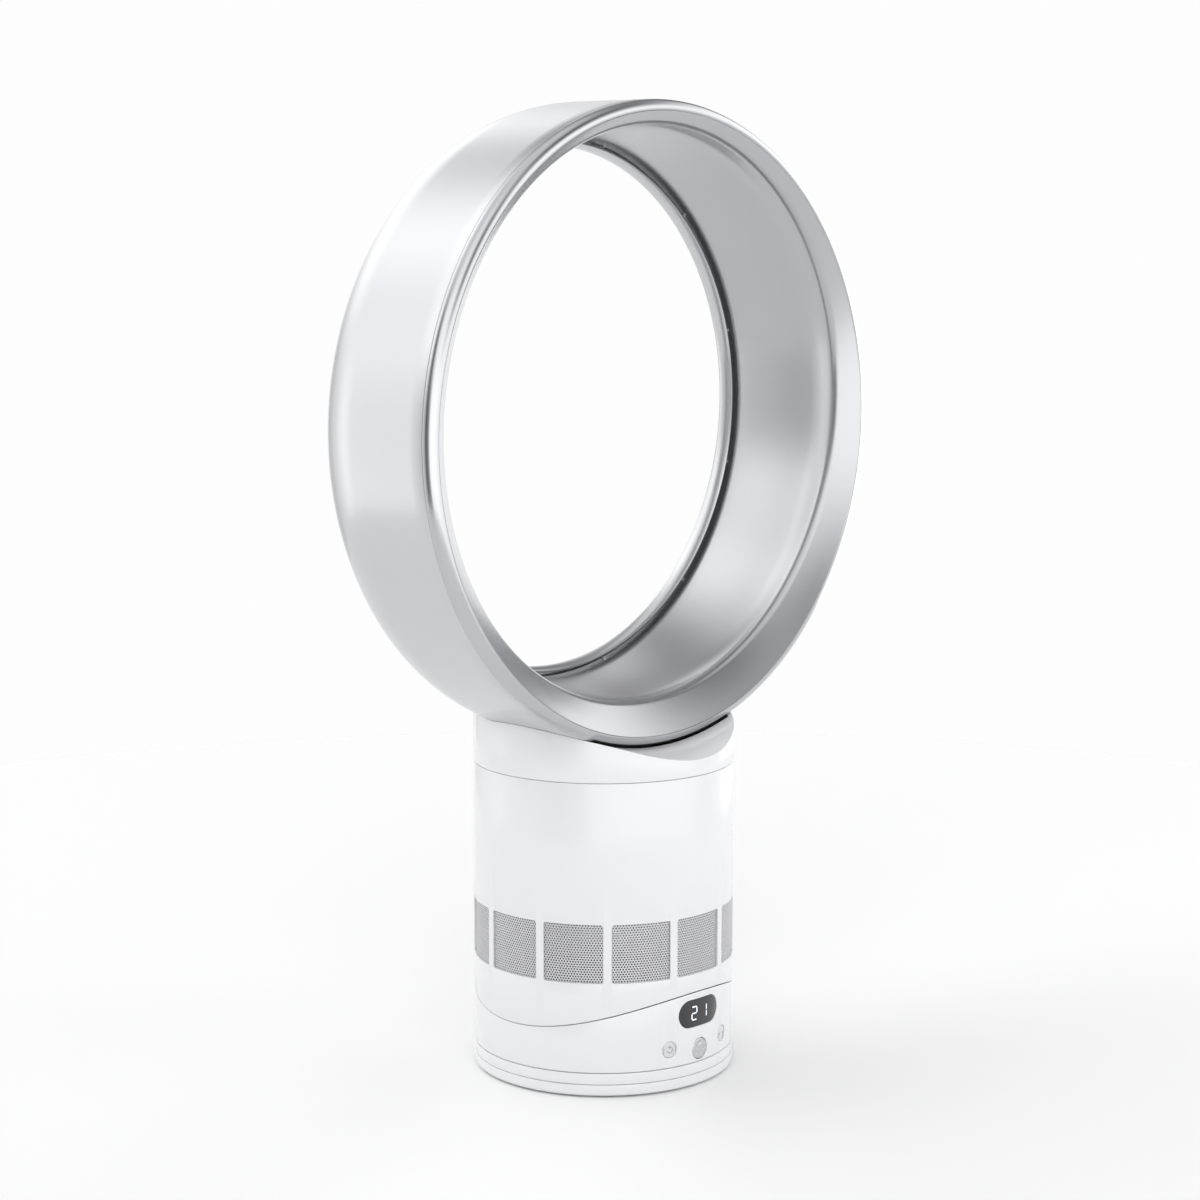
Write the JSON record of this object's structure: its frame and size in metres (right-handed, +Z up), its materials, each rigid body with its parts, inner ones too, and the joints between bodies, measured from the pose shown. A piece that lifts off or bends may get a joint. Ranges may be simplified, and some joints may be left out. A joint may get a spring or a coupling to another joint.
{
  "type": "bladeless fan",
  "caption": "Desk fan with an open air loop on a round column that turns and tilts, with side intake windows, a dial, two push buttons and a small display.",
  "frame": {"origin": "on the floor, at the centre of the round column", "axes": "+Z up; the fan blows towards -Y; +X is on its left-hand side as it faces you, looking along +Y"},
  "size_m": [0.356, 0.149, 0.547],
  "materials": {
    "white_shell": "glossy",
    "silver_casing": "satin",
    "silver_rim": "polished",
    "silver_control": "satin",
    "pale_key": "satin",
    "black_lens": "glossy",
    "grille": "satin",
    "rubber": "matt",
    "foam": "matt",
    "inner_plastic": "matt",
    "black_plastic": "satin",
    "steel": "satin",
    "magnet": "matt",
    "winding": "satin",
    "board": "satin"
  },
  "bodies": {
    "foot": {"bottom_cover": "white_shell", "rubber_feet": "rubber", "ballast_plate": "steel", "foot_shell": "white_shell", "cover_screws": "steel", "oscillation_gear": "inner_plastic", "thrust_ring": "inner_plastic", "pivot_post": "inner_plastic", "retaining_clip": "steel", "cord_gland": "rubber"},
    "base": {"base_shell": "white_shell", "turntable": "inner_plastic", "turntable_screws": "steel", "pivot_bush": "black_plastic", "oscillation_motor": "steel", "motor_screws": "steel", "control_board": "board", "display_module": "inner_plastic", "display_lens": "black_lens", "tact_switches": "black_plastic", "dial_encoder": "steel", "slide_pads": "black_plastic"},
    "pinion": {"drive_pinion": "black_plastic"},
    "power_key": {"power_button": "pale_key"},
    "oscillation_key": {"oscillation_button": "pale_key"},
    "dial": {"speed_dial": "silver_control"},
    "head": {"tilt_carriage": "inner_plastic", "rail_keepers": "inner_plastic", "keeper_screws": "steel", "body_shell": "white_shell", "intake_grille": "grille", "lower_silencer": "foam", "inlet_bell": "inner_plastic", "impeller_housing": "inner_plastic", "annular_seal": "rubber", "diffuser_vanes": "inner_plastic", "lower_bucket": "inner_plastic", "upper_bucket": "inner_plastic", "motor_stator": "steel", "motor_windings": "winding", "lower_bearing": "steel", "upper_bearing": "steel", "motor_board": "board", "mount_ring": "inner_plastic", "mount_bushes": "rubber", "lip_seal": "rubber", "bayonet_collar": "inner_plastic", "nozzle_neck": "white_shell", "outer_casing": "silver_casing", "inner_casing": "silver_casing", "front_trim_ring": "silver_rim", "slot_spacers": "silver_casing"},
    "rotor": {"impeller": "black_plastic", "impeller_nut": "steel", "motor_shaft": "steel", "rotor_magnet": "magnet"}
  },
  "joints": [
    {"name": "oscillation", "type": "hinge", "parent": "foot", "child": "base", "pos_m": [0, 0, 0.02], "axis": [0, 0, 1], "range_deg": [-45, 45]},
    {"name": "pinion_spin", "type": "hinge", "parent": "base", "child": "pinion", "pos_m": [0, 0.03, 0.014], "axis": [0, 0, 1], "range_deg": [-135, 135]},
    {"name": "head_tilt", "type": "hinge", "parent": "base", "child": "head", "pos_m": [0, 0, 0.2048], "axis": [1, 0, 0], "range_deg": [-10, 10]},
    {"name": "impeller_spin", "type": "hinge", "parent": "head", "child": "rotor", "pos_m": [0, 0, 0.112], "axis": [0, 0, 1], "continuous": true},
    {"name": "power_press", "type": "slide", "parent": "base", "child": "power_key", "axis": [0, 1, 0], "range_m": [0, 0.001], "stiffness_N_per_m": 800, "springref_m": -0.0006},
    {"name": "oscillation_press", "type": "slide", "parent": "base", "child": "oscillation_key", "axis": [0, 1, 0], "range_m": [0, 0.001], "stiffness_N_per_m": 800, "springref_m": -0.0006},
    {"name": "dial_turn", "type": "hinge", "parent": "base", "child": "dial", "pos_m": [0, -0.07, 0.0216], "axis": [0, 1, 0], "range_deg": [-150, 150]}
  ],
  "couplings": [
    {"joint": "pinion_spin", "follows": "oscillation", "ratio": 3}
  ]
}
